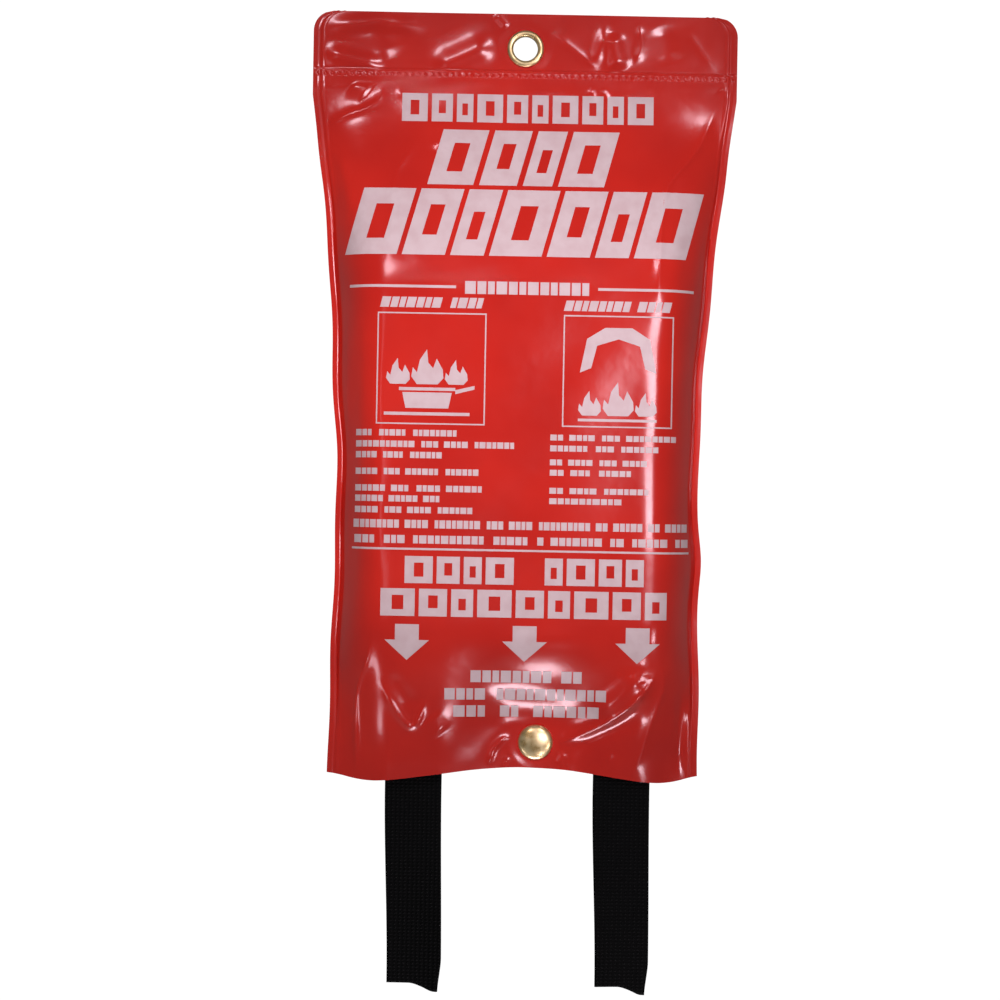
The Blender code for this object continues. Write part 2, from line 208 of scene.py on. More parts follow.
# Creases of the front sheet
FRONT_CREASES = (
    # upper left, below the weld
    (((-64, -17), (-65, -24), (-70, -28), (-80, -31), (-91, -38)), 2.2, 0.6, True),
    (((-78, -16), (-70, -22)), 5.0, 0.6, False),
    (((-58, -18), (-53, -25), (-50, -32)), 2.4, 0.35, True),
    (((-46, -36), (-50, -46), (-57, -56), (-58, -66), (-57, -80), (-60, -100)), 3.2, 0.9, True),
    (((-38, -32), (-37, -48)), 4.0, 0.8, False),
    (((-84, -45), (-79, -62), (-77, -80)), 3.5, 0.8, False),
    (((-12, -55), (-13, -64)), 3.0, 0.5, False),
    (((2, -58), (4, -64), (2, -72)), 2.5, 0.5, True),
    # upper right: a long fold from the corner to the shoulder
    (((88, -22), (85, -28), (80, -42), (72, -52), (64, -61), (62, -74), (61, -92), (61, -120)), 2.4, 1.0, True),
    (((88, -15), (93, -19)), 1.8, 0.7, True),
    (((92, -26), (89, -50), (85, -80)), 3.0, 0.5, False),
    (((29, -17), (32, -23)), 1.4, 0.4, True),
    (((34, -17), (39, -24)), 1.4, 0.4, True),
    (((71, -60), (74, -85), (73, -120)), 4.0, -0.6, False),
    # left shoulder
    (((-61, -104), (-63, -150), (-63, -210), (-62, -262)), 3.5, 0.5, False),
    (((-73, -120), (-74, -180), (-73, -260)), 3.0, -0.8, False),
    # lower left
    (((-63, -262), (-66, -277), (-70, -286), (-71, -300), (-70.5, -315), (-70, -330)), 1.7, 1.1, True),
    (((-60, -284), (-55, -294), (-49, -303), (-44.5, -306), (-41.5, -300), (-39, -292)), 1.8, 1.1, True),
    (((-56, -280), (-48, -292), (-44, -298)), 4.0, -0.7, False),
    (((-38, -300), (-31, -308)), 4.5, 0.6, False),
    # lower right
    (((64, -276), (60, -286), (46, -300), (28, -309), (15, -313)), 2.6, 1.9, True),
    (((58, -296), (40, -308), (24, -316)), 4.0, -1.1, False),
    (((62, -272), (68, -282), (64, -296), (60, -306), (57, -317), (51, -330)), 2.4, 0.8, True),
    (((54, -275), (54, -283), (47, -292), (35, -299)), 5.5, 2.2, False),
    (((46, -315), (36, -328)), 3.0, 0.6, False),
    (((75, -284), (75, -328)), 2.6, -1.1, False),
    # over the snap
    (((-16, -283), (2, -287), (22, -290), (34, -294)), 6.0, 1.3, False),
    (((-11, -323), (-9, -315), (-5, -310.5), (0, -309.0)), 1.8, 0.9, True),
    (((-4, -324), (-2, -318)), 1.3, 0.3, True),
    (((20, -322), (24, -316)), 2.0, 0.4, False),
)

# Creases of the back sheet
BACK_CREASES = (
    (((-70, -20), (-62, -34), (-60, -60)), 3.0, 0.9, True),
    (((76, -18), (66, -36), (62, -70), (61, -120)), 2.6, 0.9, True),
    (((-20, -17), (-26, -36)), 3.5, 0.7, False),
    (((24, -18), (20, -44)), 3.5, 0.6, False),
    (((-62, -262), (-48, -290), (-20, -306)), 2.6, 1.0, True),
    (((64, -262), (52, -286), (30, -302)), 2.6, 1.0, True),
    (((-66, -290), (-70, -326)), 2.4, 0.8, True),
    (((70, -288), (66, -326)), 2.4, 0.7, True),
)


def lobe(x):
    """0 at the snap and at the side welds, 1 over each tab."""
    side = ramp(np.abs(x), MOUTH_HALF * FLANGE_SHARE, LOBE_CENTRE)
    return side * ramp(np.abs(x - SNAP_X), 12.0 * MM, LOBE_CENTRE - SNAP_X)


def fittings_mask(x, z):
    """0 where the eyelet and the snap clamp the sheets flat, 1 away from them."""
    eyelet = ramp(np.hypot(x, z), 8.8 * MM, 13.0 * MM)
    snap = ramp(np.hypot(x - SNAP_X, z - SNAP_Z), 8.4 * MM, 12.5 * MM)
    return eyelet * snap


def shared_wave(x, z, share):
    """What both sheets do together: the header's creases and the ripple of the side welds."""
    header = ramp(z, BAND_Z - 8.0 * MM, BAND_Z + 4.0 * MM)
    wave = 0.85 * sum(stroke(x, z, *crease) for crease in HEADER_CREASES) * header
    wave = wave + header * 0.45 * MM * np.sin(x / (19.0 * MM) + 0.6) * np.cos(z / (24.0 * MM))
    wave = wave + header * 0.05 * MM * np.sin(x / (7.5 * MM) + z / (11.0 * MM))
    edge = ramp(share, 0.82, 1.0) * (1.0 - header)
    wave = wave + edge * (0.55 * MM * np.sin(z / (17.0 * MM) + np.sign(x)) + 0.14 * MM * np.sin(z / (5.5 * MM)))
    return wave * fittings_mask(x, z)


def band_dents(x, z):
    """The dashes that the welding bar pressed into the header."""
    across = np.exp(-((z - BAND_Z) / (0.75 * BAND_HALF)) ** 4)
    dash = 0.5 + 0.5 * np.cos(2.0 * np.pi * (x + 0.35 * (z - BAND_Z)) / BAND_PITCH)
    line = np.exp(-((z - BAND_Z - 1.9 * MM) / (0.45 * MM)) ** 2)
    return -0.50 * MM * across * dash ** 2 - 0.45 * MM * line


def weld_seam(inset):
    """The pressed line a few millimetres inside each side edge."""
    groove = np.exp(-((inset - WELD_INSET) / (0.55 * MM)) ** 2)
    bead = np.exp(-((inset - WELD_INSET - 1.3 * MM) / (0.7 * MM)) ** 2)
    return 0.22 * MM * bead - 0.28 * MM * groove


def side_fall(share):
    s = np.clip((share - FLAT_SHARE) / (FLANGE_SHARE - FLAT_SHARE), 0.0, 1.0)
    return np.cos(s ** 1.8 * np.pi / 2.0)


def sheet_depth(x, z, share, bulge, pinch, stand):
    """How far a sheet stands off the weld plane: full over the blanket, closed at the mouth."""
    beside_snap = np.exp(-((x - SNAP_X) / (24.0 * MM)) ** 2)
    closing = beside_snap * ramp(z, BULGE_END, LIP_TOP)
    closing = closing + (1.0 - beside_snap) * ramp(z, BULGE_END + 6.0 * MM, -322.0 * MM)
    rise = ramp(z, WELD_LINE, BULGE_TOP)
    near_weld = ramp(share, FLANGE_SHARE, FLAT_SHARE)
    lips = pinch * near_weld + stand * lobe(x)
    return rise * ((1.0 - closing) * bulge * side_fall(share) + closing * lips)


def front_surface(x, z):
    """y of the front sheet's outer face."""
    half = half_width(z, x > 0.0)
    share = np.abs(x) / half
    inset = half - np.abs(x)
    depth = sheet_depth(x, z, share, FRONT_BULGE, FRONT_PINCH - SLACK, FRONT_LOBE)
    inside = ramp(share, 0.985, 0.90)
    below = ramp(z, WELD_LINE + 1.0 * MM, WELD_LINE - 3.0 * MM)
    relief = sum(stroke(x, z, *crease) for crease in FRONT_CREASES)
    relief = relief + 0.55 * MM * np.sin(x / (17.0 * MM) + 1.1) * np.sin(z / (31.0 * MM) + 0.4)
    relief = relief + 0.22 * MM * np.sin(x / (7.0 * MM) - z / (12.0 * MM)) * np.sin(z / (19.0 * MM))
    relief = relief * inside * below * fittings_mask(x, z)
    pressed = band_dents(x, z) * ramp(inset, 0.5 * MM, 2.0 * MM) + weld_seam(inset)
    under_eyelet = 0.15 * MM * (1.0 - fittings_mask(x, z)) * ramp(z, -30.0 * MM, -10.0 * MM)
    return -shared_wave(x, z, share) - depth - relief - pressed - SHEET - under_eyelet - 0.25 * SLACK


def back_surface(x, z):
    """y of the back sheet's outer face."""
    half = half_width(z, x > 0.0)
    share = np.abs(x) / half
    inset = half - np.abs(x)
    depth = sheet_depth(x, z, share, BACK_BULGE, BACK_PINCH - SLACK, BACK_LOBE)
    inside = ramp(share, 0.985, 0.90) * ramp(z, WELD_LINE + 1.0 * MM, WELD_LINE - 3.0 * MM)
    relief = sum(stroke(x, z, *crease) for crease in BACK_CREASES)
    relief = relief + 0.25 * MM * np.sin(x / (16.0 * MM)) * np.sin(z / (27.0 * MM) + 1.0)
    relief = relief * inside * fittings_mask(x, z)
    pressed = band_dents(x, z) * ramp(inset, 0.5 * MM, 2.0 * MM) + weld_seam(inset)
    return -shared_wave(x, z, share) + depth + relief + pressed + SHEET + 0.1 * MM


# ---- mesh helpers ----

def new_piece(name, bm, material, smooth=True):
    mesh = bpy.data.meshes.new(name)
    bm.to_mesh(mesh)
    bm.free()
    if smooth:
        mesh.shade_smooth()
    mesh.materials.append(material)
    piece = bpy.data.objects.new(name, mesh)
    bpy.context.scene.collection.objects.link(piece)
    return piece


def spread(low, high, step, dense=()):
    """Positions from low to high about a step apart, and closer inside each dense (from, to, step) stretch."""
    marks = [low]
    while marks[-1] < high:
        here = marks[-1]
        pace = step
        for start, end, fine in dense:
            if start <= here < end:
                pace = min(pace, fine)
        marks.append(here + pace)
    marks = np.array(marks)
    return low + (marks - low) * (high - low) / (marks[-1] - low)


def shade_from(piece, surface, outward):
    """Shades the faces of a sheet by its surface, so that neighbouring pieces of one sheet show no seam."""
    mesh = piece.data
    count = len(mesh.loops)
    places = np.zeros(len(mesh.vertices) * 3)
    mesh.vertices.foreach_get("co", places)
    places = places.reshape(-1, 3)
    x, z = places[:, 0], places[:, 2]
    step = 0.25 * MM
    slope_x = (surface(x + step, z) - surface(x - step, z)) / (2.0 * step)
    slope_z = (surface(x, z + step) - surface(x, z - step)) / (2.0 * step)
    outwards = np.column_stack((-slope_x, np.ones(len(x)), -slope_z)) * outward
    outwards /= np.linalg.norm(outwards, axis=1)[:, None]
    corner = np.zeros(count, int)
    mesh.loops.foreach_get("vertex_index", corner)
    faces = np.zeros(len(mesh.polygons) * 3)
    mesh.polygons.foreach_get("normal", faces)
    totals = np.zeros(len(mesh.polygons), int)
    mesh.polygons.foreach_get("loop_total", totals)
    face = np.repeat(faces.reshape(-1, 3), totals, axis=0)
    facing = np.sum(face * outwards[corner], axis=1)
    normals = np.where((facing > 0.5)[:, None], outwards[corner], face)
    normals = np.where((facing < -0.5)[:, None], -outwards[corner], normals)
    mesh.normals_split_custom_set([tuple(normal) for normal in normals])


def lay_sheet(name, shares, heights, surface, follow_edge, hole, outward, material):
    """A PVC sheet on its surface: a grid moved into place, cut for its fitting, then given its thickness."""
    bm = bmesh.new()
    bmesh.ops.create_grid(bm, x_segments=len(shares) - 1, y_segments=len(heights) - 1, size=1.0)
    co = np.array([vert.co for vert in bm.verts])
    column = np.rint((co[:, 0] + 1.0) / 2.0 * (len(shares) - 1)).astype(int)
    row = np.rint((co[:, 1] + 1.0) / 2.0 * (len(heights) - 1)).astype(int)
    share = np.asarray(shares)[column]
    z = np.asarray(heights)[row]
    x = share * half_width(z, share > 0.0)
    if follow_edge:
        low = min(heights)
        z = z + (mouth_edge(x) - low) * ramp(z, low + 45.0 * MM, low)
    y = surface(x, z)
    for vert, place in zip(bm.verts, np.column_stack((x, y, z))):
        vert.co = place
    bmesh.ops.recalc_face_normals(bm, faces=bm.faces)
    if sum(face.normal.y for face in bm.faces) * outward < 0.0:
        bmesh.ops.reverse_faces(bm, faces=bm.faces)
    if hole:
        punch(bm, *hole)
    bmesh.ops.solidify(bm, geom=list(bm.faces), thickness=SHEET)
    piece = new_piece(name, bm, material)
    shade_from(piece, surface, outward)
    return piece


def punch(bm, x, z, radius):
    """Opens a round hole: the vertices beside it are drawn onto its rim, and the faces inside go."""
    inside = []
    for vert in bm.verts:
        flat = Vector((vert.co.x - x, 0.0, vert.co.z - z))
        if flat.length < radius:
            inside.append(vert)
    bmesh.ops.delete(bm, geom=inside, context="VERTS")
    for edge in [edge for edge in bm.edges if edge.is_boundary]:
        for vert in edge.verts:
            flat = Vector((vert.co.x - x, 0.0, vert.co.z - z))
            if radius * 0.9 < flat.length < radius * 1.6:
                flat = flat.normalized() * radius
                vert.co.x = x + flat.x
                vert.co.z = z + flat.z


def revolve(name, profile, centre, material, steps=96):
    """Turns (radius, distance forwards) points in millimetres about an axis along -Y."""
    bm = bmesh.new()
    verts = [bm.verts.new((centre.x + radius * MM, -forward * MM, centre.z)) for radius, forward in profile]
    edges = [bm.edges.new(pair) for pair in zip(verts, verts[1:])]
    bmesh.ops.spin(bm, geom=verts + edges, cent=(centre.x, 0.0, centre.z), axis=(0.0, 1.0, 0.0),
                   angle=2.0 * math.pi, steps=steps, use_merge=True)
    bmesh.ops.remove_doubles(bm, verts=bm.verts, dist=0.00001)
    bmesh.ops.recalc_face_normals(bm, faces=bm.faces)
    piece = new_piece(name, bm, material)
    piece.data.set_sharp_from_angle(angle=math.radians(38.0))
    return piece


# ---- materials ----

def linear(colour):
    """sRGB hex to linear RGBA."""
    values = [int(colour[i:i + 2], 16) / 255.0 for i in (1, 3, 5)]
    return tuple(v / 12.92 if v <= 0.04045 else ((v + 0.055) / 1.055) ** 2.4 for v in values) + (1.0,)


def add(material, kind, links=None, **settings):
    """Adds a node; links maps its inputs to other nodes' outputs, settings its properties or input values."""
    node = material.node_tree.nodes.new(kind)
    for key, value in settings.items():
        if hasattr(node, key):
            setattr(node, key, value)
        else:
            node.inputs[key.replace("_", " ")].default_value = value
    for key, source in (links or {}).items():
        material.node_tree.links.new(source, node.inputs[key])
    return node


def new_material(name, colour, roughness, metallic=0.0, ior=1.5):
    material = bpy.data.materials.new(name)
    material.use_nodes = True
    shader = material.node_tree.nodes["Principled BSDF"]
    shader.inputs["Base Color"].default_value = linear(colour)
    shader.inputs["Roughness"].default_value = roughness
    shader.inputs["Metallic"].default_value = metallic
    shader.inputs["IOR"].default_value = ior
    return material, shader


def connect(material, output, socket):
    material.node_tree.links.new(output, socket)


def calendered_pvc():
    """Plasticised PVC sheet, calendered: a wet-looking gloss with a faint orange peel and small shade changes."""
    material, shader = new_material("calendered_pvc_red", "#D0231F", 0.24, ior=1.53)
    place = add(material, "ShaderNodeTexCoord").outputs["Object"]
    cloud = add(material, "ShaderNodeTexNoise", {"Vector": place}, Scale=22.0, Detail=3.0)
    shade = add(material, "ShaderNodeValToRGB", {"Fac": cloud.outputs["Fac"]})
    shade.color_ramp.elements[0].position = 0.30
    shade.color_ramp.elements[0].color = linear("#C81A10")
    shade.color_ramp.elements[1].position = 0.72
    shade.color_ramp.elements[1].color = linear("#DC2215")
    connect(material, shade.outputs["Color"], shader.inputs["Base Color"])
    smear = add(material, "ShaderNodeTexNoise", {"Vector": place}, Scale=65.0, Detail=4.0)
    rough = add(material, "ShaderNodeMapRange", {"Value": smear.outputs["Fac"]}, To_Min=0.12, To_Max=0.24)
    connect(material, rough.outputs["Result"], shader.inputs["Roughness"])
    # orange peel about 0.7 mm across, over soft ripples about 9 mm across
    peel = add(material, "ShaderNodeTexNoise", {"Vector": place}, Scale=1400.0, Detail=2.0)
    ripple = add(material, "ShaderNodeTexNoise", {"Vector": place}, Scale=110.0, Detail=2.0)
    fine = add(material, "ShaderNodeBump", {"Height": peel.outputs["Fac"]}, Strength=0.08, Distance=0.00005)
    soft = add(material, "ShaderNodeBump", {"Height": ripple.outputs["Fac"], "Normal": fine.outputs["Normal"]},
               Strength=0.22, Distance=0.0005)
    connect(material, soft.outputs["Normal"], shader.inputs["Normal"])
    shader.inputs["Coat Weight"].default_value = 0.25
    shader.inputs["Coat Roughness"].default_value = 0.10
    return material


def screen_ink():
    """White vinyl screen ink over red: slightly pink where it is thin, and duller than the sheet."""
    material, shader = new_material("screen_ink_white", "#DCBFC4", 0.38, ior=1.48)
    place = add(material, "ShaderNodeTexCoord").outputs["Object"]
    mesh_marks = add(material, "ShaderNodeTexNoise", {"Vector": place}, Scale=160.0, Detail=3.0)
    shade = add(material, "ShaderNodeValToRGB", {"Fac": mesh_marks.outputs["Fac"]})
    shade.color_ramp.elements[0].position = 0.32
    shade.color_ramp.elements[0].color = linear("#D8B6BD")
    shade.color_ramp.elements[1].position = 0.62
    shade.color_ramp.elements[1].color = linear("#DFC1C8")
    connect(material, shade.outputs["Color"], shader.inputs["Base Color"])
    bump = add(material, "ShaderNodeBump", {"Height": mesh_marks.outputs["Fac"]}, Strength=0.12, Distance=0.0001)
    connect(material, bump.outputs["Normal"], shader.inputs["Normal"])
    return material


def polished_brass():
    """Rolled and stamped brass, polished: bright, with a few dull patches."""
    material, shader = new_material("polished_brass", "#F0D9A0", 0.28, metallic=1.0)
    place = add(material, "ShaderNodeTexCoord").outputs["Object"]
    tarnish = add(material, "ShaderNodeTexNoise", {"Vector": place}, Scale=260.0, Detail=4.0)
    shade = add(material, "ShaderNodeValToRGB", {"Fac": tarnish.outputs["Fac"]})
    shade.color_ramp.elements[0].position = 0.30
    shade.color_ramp.elements[0].color = linear("#D9B677")
    shade.color_ramp.elements[1].position = 0.60
    shade.color_ramp.elements[1].color = linear("#F6E0AC")
    connect(material, shade.outputs["Color"], shader.inputs["Base Color"])
    rough = add(material, "ShaderNodeMapRange", {"Value": tarnish.outputs["Fac"]}, To_Min=0.22, To_Max=0.36)
    connect(material, rough.outputs["Result"], shader.inputs["Roughness"])
    dents = add(material, "ShaderNodeTexNoise", {"Vector": place}, Scale=300.0, Detail=2.0)
    bump = add(material, "ShaderNodeBump", {"Height": dents.outputs["Fac"]}, Strength=0.10, Distance=0.0002)
    connect(material, bump.outputs["Normal"], shader.inputs["Normal"])
    return material


def spring_steel():
    """Drawn spring wire: grey, with fine marks along it."""
    material, shader = new_material("drawn_spring_wire", "#B9BABC", 0.28, metallic=1.0)
    place = add(material, "ShaderNodeTexCoord").outputs["Object"]
    marks = add(material, "ShaderNodeTexNoise", {"Vector": place}, Scale=1500.0, Detail=2.0)
    rough = add(material, "ShaderNodeMapRange", {"Value": marks.outputs["Fac"]}, To_Min=0.20, To_Max=0.40)
    connect(material, rough.outputs["Result"], shader.inputs["Roughness"])
    return material


def weave_scale(pitch):
    """Scale of a wave pattern whose bands lie pitch millimetres apart on a map in millimetres."""
    return math.pi / 10.0 / pitch


def woven_webbing():
    """Black polypropylene webbing: a ribbed weave, matt, with painted shade that makes the hollows of the weave darker
    and its crowns lighter.

    Its ribs are 1.1 mm apart; they are drawn 1.6 mm apart, which is as fine as shows.
    """
    material, shader = new_material("woven_webbing_black", "#101112", 0.62)
    place = add(material, "ShaderNodeUVMap", uv_map="weave").outputs["UV"]
    ribs = add(material, "ShaderNodeTexWave", {"Vector": place}, wave_type="BANDS", bands_direction="Y",
               Scale=weave_scale(1.6))
    picks = add(material, "ShaderNodeTexWave", {"Vector": place}, wave_type="BANDS", bands_direction="X",
                Scale=weave_scale(2.0))
    woven = add(material, "ShaderNodeMath", operation="MULTIPLY")
    connect(material, ribs.outputs["Fac"], woven.inputs[0])
    connect(material, picks.outputs["Fac"], woven.inputs[1])
    lint = add(material, "ShaderNodeTexNoise", {"Vector": place}, Scale=0.9, Detail=4.0)
    height = add(material, "ShaderNodeMath", operation="MULTIPLY_ADD")
    connect(material, lint.outputs["Fac"], height.inputs[0])
    height.inputs[1].default_value = 0.25
    connect(material, woven.outputs["Value"], height.inputs[2])
    bump = add(material, "ShaderNodeBump", {"Height": height.outputs["Value"]}, Strength=0.9, Distance=0.0003)
    connect(material, bump.outputs["Normal"], shader.inputs["Normal"])
    # painted shade: the colour follows the weave's height, darker in its hollows and lighter on its crowns, with random
    # tone from the lint noise
    shade = add(material, "ShaderNodeValToRGB", {"Fac": height.outputs["Value"]})
    shade.color_ramp.elements[0].color = linear("#010202")
    shade.color_ramp.elements[1].position = 0.95
    shade.color_ramp.elements[1].color = linear("#070808")
    connect(material, shade.outputs["Color"], shader.inputs["Base Color"])
    shader.inputs["Specular IOR Level"].default_value = 0.05
    return material


def glass_cloth():
    """Woven glass fibre: off-white with a satin gleam.

    Its yarns are 1.2 mm apart; they are drawn 2.4 mm apart, so that the weave shows on the drawn-out blanket.
    """
    material, shader = new_material("woven_glass_cloth", "#E9E6DA", 0.55, ior=1.52)
    place = add(material, "ShaderNodeUVMap", uv_map="weave").outputs["UV"]
    warp = add(material, "ShaderNodeTexWave", {"Vector": place}, wave_type="BANDS", bands_direction="X",
               Scale=weave_scale(2.4))
    weft = add(material, "ShaderNodeTexWave", {"Vector": place}, wave_type="BANDS", bands_direction="Y",
               Scale=weave_scale(2.4))
    woven = add(material, "ShaderNodeMath", operation="MAXIMUM")
    connect(material, warp.outputs["Fac"], woven.inputs[0])
    connect(material, weft.outputs["Fac"], woven.inputs[1])
    shade = add(material, "ShaderNodeValToRGB", {"Fac": woven.outputs["Value"]})
    shade.color_ramp.elements[0].color = linear("#C9C4B4")
    shade.color_ramp.elements[1].position = 0.8
    shade.color_ramp.elements[1].color = linear("#EFECE2")
    connect(material, shade.outputs["Color"], shader.inputs["Base Color"])
    bump = add(material, "ShaderNodeBump", {"Height": woven.outputs["Value"]}, Strength=0.7, Distance=0.0003)
    connect(material, bump.outputs["Normal"], shader.inputs["Normal"])
    shader.inputs["Sheen Weight"].default_value = 0.2
    return material


def bonded_thread():
    """Bonded polyester sewing thread: a twist about 1 mm long."""
    material, shader = new_material("bonded_thread_white", "#E4E0D4", 0.55)
    place = add(material, "ShaderNodeTexCoord").outputs["Object"]
    twist = add(material, "ShaderNodeTexWave", {"Vector": place}, bands_direction="DIAGONAL", Scale=320.0)
    bump = add(material, "ShaderNodeBump", {"Height": twist.outputs["Fac"]}, Strength=0.5, Distance=0.0001)
    connect(material, bump.outputs["Normal"], shader.inputs["Normal"])
    shade = add(material, "ShaderNodeValToRGB", {"Fac": twist.outputs["Fac"]})
    shade.color_ramp.elements[0].color = linear("#C8C3B4")
    shade.color_ramp.elements[1].color = linear("#ECE8DD")
    connect(material, shade.outputs["Color"], shader.inputs["Base Color"])
    return material


# ---- camera, lights and floor ----

def add_camera():
    """Straight in front, from far enough that the sides stay nearly parallel; rolled as the pouch hangs askew."""
    camera = bpy.data.objects.new("camera", bpy.data.cameras.new("camera"))
    bpy.context.scene.collection.objects.link(camera)
    distance = 1.6
    across = 0.450
    camera.data.sensor_width = 36.0
    camera.data.lens = 36.0 * distance / across
    camera.data.clip_start = 0.01
    roll = Matrix.Rotation(math.radians(1.05), 4, "Z")
    upright = Matrix.Rotation(math.pi / 2.0, 4, "X")
    camera.matrix_world = Matrix.Translation((-0.0078, -distance, -0.2031)) @ upright @ roll
    bpy.context.scene.camera = camera


def place_light(name, data, place, target):
    light = bpy.data.objects.new(name, data)
    light.visible_camera = False
    light.location = place
    light.rotation_euler = (Vector(target) - Vector(place)).to_track_quat("-Z", "Y").to_euler()
    bpy.context.scene.collection.objects.link(light)
    return light


def add_light(name, place, target, size, power):
    """A soft box that shows only as a reflection on glossy surfaces."""
    data = bpy.data.lights.new(name, "AREA")
    data.shape = "RECTANGLE"
    data.size, data.size_y = size
    data.energy = power
    data.color = GLEAM
    place_light(name, data, place, target).visible_diffuse = False


def add_spot(name, place, target, cone, radius, power):
    """A soft spot that lights surfaces and leaves no highlight."""
    data = bpy.data.lights.new(name, "SPOT")
    data.spot_size = math.radians(cone)
    data.spot_blend = 1.0
    data.shadow_soft_size = radius
    data.energy = power
    place_light(name, data, place, target).visible_glossy = False


def add_studio():
    middle = (0.0, 0.0, -0.19)
    low = (0.0, 0.0, -0.29)
    add_spot("key", (-0.06, -1.50, 0.34), (0.004, 0.0, -0.148), 18.5, 0.12, 92.0)
    add_spot("low_key", (-0.10, -1.50, -0.55), (0.0, 0.0, -0.60), 15.0, 0.12, 60.0)
    add_light("left_strip", (-0.42, -1.52, -0.17), (-0.06, 0.0, -0.18), (0.16, 0.34), 0.22)
    add_light("right_strip", (0.50, -1.48, -0.075), (0.06, 0.0, -0.14), (0.42, 0.24), 5.6)
    add_light("low_front", (0.0, -0.20, -0.85), (0.01, 0.0, -0.28), (0.32, 0.12), 1.8)
    add_light("low_middle", (0.27, -0.75, -0.86), (0.04, 0.0, -0.29), (0.12, 0.12), 0.8)
    add_light("low_left", (-0.55, -0.62, -0.84), low, (0.14, 0.14), 0.45)
    add_light("low_right", (0.66, -0.80, -0.56), low, (0.16, 0.16), 1.1)
    add_light("upper_left", (-0.33, -1.42, 0.50), middle, (0.24, 0.16), 2.0)
    add_light("upper_right", (0.46, -1.34, 0.52), middle, (0.20, 0.16), 2.4)
    add_spot("rear_key", (0.3, 1.6, 0.9), (0.0, 0.2, -0.5), 150.0, 0.4, 150.0)
    add_light("rear_strip", (0.55, 1.5, 0.15), middle, (0.16, 0.5), 2.2)
    world = bpy.data.worlds.new("studio")
    bpy.context.scene.world = world
    world.use_nodes = True
    nodes = world.node_tree.nodes
    links = world.node_tree.links
    background = nodes["Background"]
    background.inputs["Color"].default_value = linear("#FFFFFF")
    path = nodes.new("ShaderNodeLightPath")
    strength = nodes.new("ShaderNodeMapRange")
    strength.inputs["To Min"].default_value = WORLD_LIGHT
    strength.inputs["To Max"].default_value = WORLD_SHOWN
    links.new(path.outputs["Is Camera Ray"], strength.inputs["Value"])
    links.new(strength.outputs["Result"], background.inputs["Strength"])
    bpy.context.scene.view_settings.view_transform = "Standard"

    bm = bmesh.new()
    bmesh.ops.create_grid(bm, x_segments=1, y_segments=1, size=FLOOR_HALF,
                          matrix=Matrix.Translation((0.0, 0.0, FLOOR_HEIGHT)))
    paint, _ = new_material("pale_floor", "#FAFAFA", 0.9)
    floor = new_piece("floor", bm, paint, smooth=False)


# ---- the print ----

def add_box(bm, x0, x1, z0, z1, slant=0.0):
    """A flat block; slant leans its top to the right."""
    lean = slant * (z1 - z0) / 2.0
    add_polygon(bm, ((x0 - lean, z0), (x1 - lean, z0), (x1 + lean, z1), (x0 + lean, z1)))


def add_open_block(bm, x0, x1, z0, z1, slant, kind):
    """A tall block with an open middle, which sits a little higher or lower by turns."""
    tall, wide = z1 - z0, x1 - x0
    middle = (z0 + z1) / 2.0

    def place(u, v):
        z = z0 + v * tall
        return x0 + u * wide + slant * (z - middle), z

    left, right = 0.33, 0.67
    low, high = ((0.24, 0.76), (0.30, 0.76), (0.24, 0.66))[kind % 3]
    for u0, u1, v0, v1 in ((0, left, 0, 1), (right, 1, 0, 1), (left, right, 0, low), (left, right, high, 1)):
        add_polygon(bm, [place(u0, v0), place(u1, v0), place(u1, v1), place(u0, v1)])


def add_blocks(bm, x0, x1, z0, z1, count, slant=0.0, gap=0.16, breaks=()):
    """A line of blocks in place of lettering; breaks are the blocks left open, as spaces between words."""
    widths = [1.0 - 0.18 * ((i * 7) % 3) for i in range(count)]
    scale = (x1 - x0) / (sum(widths) + gap * (count - 1))
    x = x0
    for i, width in enumerate(widths):
        if i not in breaks:
            if z1 - z0 > 8.0:
                add_open_block(bm, x, x + width * scale, z0, z1, slant, i)
            else:
                add_box(bm, x, x + width * scale, z0, z1, slant)
        x += (width + gap) * scale


def add_polygon(bm, points):
    verts = [bm.verts.new((x * MM, 0.0, z * MM)) for x, z in points]
    bm.faces.new(verts)


def add_frame(bm, x0, x1, z0, z1, line):
    add_box(bm, x0, x1, z1 - line, z1)
    add_box(bm, x0, x1, z0, z0 + line)
    add_box(bm, x0, x0 + line, z0 + line, z1 - line)
    add_box(bm, x1 - line, x1, z0 + line, z1 - line)


def add_arrow(bm, x, top, shoulder, tip, shaft, head):
    add_polygon(bm, ((x - shaft / 2, top), (x + shaft / 2, top), (x + shaft / 2, shoulder), (x + head / 2, shoulder),
                     (x, tip), (x - head / 2, shoulder), (x - shaft / 2, shoulder)))


def add_flame(bm, x, z, size):
    """A simple three-tongued flame outline, filled."""
    outline = ((-0.30, 0.0), (-0.46, 0.22), (-0.42, 0.48), (-0.30, 0.34), (-0.22, 0.70), (-0.02, 1.0), (0.02, 0.62),
               (0.16, 0.46), (0.26, 0.74), (0.44, 0.42), (0.46, 0.18), (0.30, 0.0))
    add_polygon(bm, [(x + px * size, z + pz * size) for px, pz in outline])


def add_pan(bm, x, z):
    """A pan on a hob: body, rim, handle and hob line."""
    add_polygon(bm, ((x - 11, z + 7), (x + 11, z + 7), (x + 9.5, z), (x - 9.5, z)))
    add_box(bm, x - 12.5, x + 12.5, z + 7.8, z + 9.2)
    add_polygon(bm, ((x + 12.5, z + 8.2), (x + 21, z + 10.2), (x + 21, z + 8.6), (x + 12.5, z + 6.4)))
    add_box(bm, x - 19, x + 19, z - 3.2, z - 1.8)


